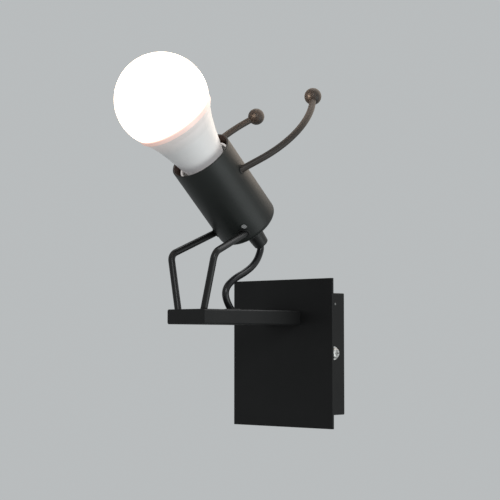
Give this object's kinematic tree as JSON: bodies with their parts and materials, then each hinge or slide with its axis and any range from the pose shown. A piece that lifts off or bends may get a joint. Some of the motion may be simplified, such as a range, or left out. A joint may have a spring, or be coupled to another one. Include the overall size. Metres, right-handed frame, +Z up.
{
  "type": "wall lamp",
  "caption": "Wall lamp in satin black metal shaped like a standing figure, with bent rod limbs, a cup for a body and a lit opal bulb for a head, on a flat bar and a wall plate.",
  "frame": {"origin": "middle of the wall plate, on the wall, which is also the middle of the two wall screws", "axes": "+Z up, +Y into the wall, -Y out into the room, +X to the lamp's right seen from the room"},
  "size_m": [0.09, 0.1678, 0.2405],
  "materials": {
    "black_metal": "satin black powder coat",
    "zinc_steel": "bright zinc plate",
    "black_rubber": "matte black rubber",
    "black_plastic": "satin black plastic",
    "black_cable": "smooth glossy black sheath",
    "brown_core": "smooth brown insulation",
    "blue_core": "smooth blue insulation",
    "earth_core": "green and yellow insulation",
    "white_plastic": "smooth white plastic",
    "white_ceramic": "smooth off-white moulding",
    "brass": "plain brass",
    "opal": "opal light diffuser",
    "bulb_white": "smooth white bulb housing",
    "aluminium": "plain aluminium-core board",
    "phosphor": "yellow phosphor",
    "board_green": "green circuit board",
    "dark_parts": "dark electronic parts",
    "cap_metal": "nickel-plated shell",
    "cap_glass": "black insulating glass"
  },
  "bodies": {
    "fixture": {"back_box": "black_metal", "bar": "black_metal", "bar_end_cap": "black_metal", "bar_root_block": "zinc_steel", "cable": "black_cable", "cable_grommet": "black_rubber", "cable_inside_cup": "black_cable", "centre_contact": "brass", "cord_grip": "black_plastic", "earth_screw": "zinc_steel", "earth_tag": "brass", "earth_wire": "earth_core", "front_plate": "black_metal", "grip_screw": "black_plastic", "holder_dome": "white_plastic", "holder_insert": "white_ceramic", "holder_screws": "zinc_steel", "holder_skirt": "white_plastic", "holder_wires": "brown_core", "lamp_cup": "black_metal", "left_arm": "black_metal", "left_bar_screw": "zinc_steel", "left_bracket_ear": "zinc_steel", "left_foot_nut": "zinc_steel", "left_hand": "black_metal", "left_leg": "black_metal", "left_rivet": "zinc_steel", "live_wire": "brown_core", "lock_nut": "zinc_steel", "neutral_wire": "blue_core", "nipple": "zinc_steel", "right_arm": "black_metal", "right_bar_screw": "zinc_steel", "right_bracket_ear": "zinc_steel", "right_foot_nut": "zinc_steel", "right_hand": "black_metal", "right_leg": "black_metal", "right_rivet": "zinc_steel", "screw_shell": "brass", "side_contact": "brass", "terminal_block": "white_plastic", "terminal_inserts": "brass", "terminal_screws": "zinc_steel", "tooth_washer": "zinc_steel", "wall_bracket": "zinc_steel", "wire_bush": "black_rubber"},
    "bulb_tip": {"tip_contact": "brass"},
    "bulb": {"diffuser": "opal", "bulb_housing": "bulb_white", "led_board": "aluminium", "led_chips": "phosphor", "driver_board": "board_green", "driver_parts": "dark_parts", "screw_cap": "cap_metal", "cap_insulator": "cap_glass"},
    "right_washer": {"right_screw_washer": "zinc_steel"},
    "right_screw": {"right_side_screw": "zinc_steel"},
    "left_washer": {"left_screw_washer": "zinc_steel"},
    "left_screw": {"left_side_screw": "zinc_steel"}
  },
  "joints": [
    {"name": "bulb_travel", "type": "slide", "parent": "fixture", "child": "bulb_tip", "axis": [0, -0.7314, 0.682], "range_m": [0, 0.01814]},
    {"name": "bulb_turn", "type": "hinge", "parent": "bulb_tip", "child": "bulb", "pos_m": [0, -0.1033, 0.1283], "axis": [0, -0.7314, 0.682], "range_deg": [0, 1800]},
    {"name": "right_screw_travel", "type": "slide", "parent": "fixture", "child": "right_washer", "axis": [1, 0, 0], "range_m": [0, 0.00559]},
    {"name": "right_screw_turn", "type": "hinge", "parent": "right_washer", "child": "right_screw", "pos_m": [0.0358, -0.0115, 0], "axis": [1, 0, 0], "range_deg": [0, 2880]},
    {"name": "left_screw_travel", "type": "slide", "parent": "fixture", "child": "left_washer", "axis": [-1, 0, 0], "range_m": [0, 0.00559]},
    {"name": "left_screw_turn", "type": "hinge", "parent": "left_washer", "child": "left_screw", "pos_m": [-0.0358, -0.0115, 0], "axis": [-1, 0, 0], "range_deg": [0, 2880]}
  ],
  "couplings": [
    {"joint": "bulb_turn", "follows": "bulb_travel", "rad_per_m": 1731.4},
    {"joint": "right_screw_turn", "follows": "right_screw_travel", "rad_per_m": 8976},
    {"joint": "left_screw_turn", "follows": "left_screw_travel", "rad_per_m": 8976}
  ]
}
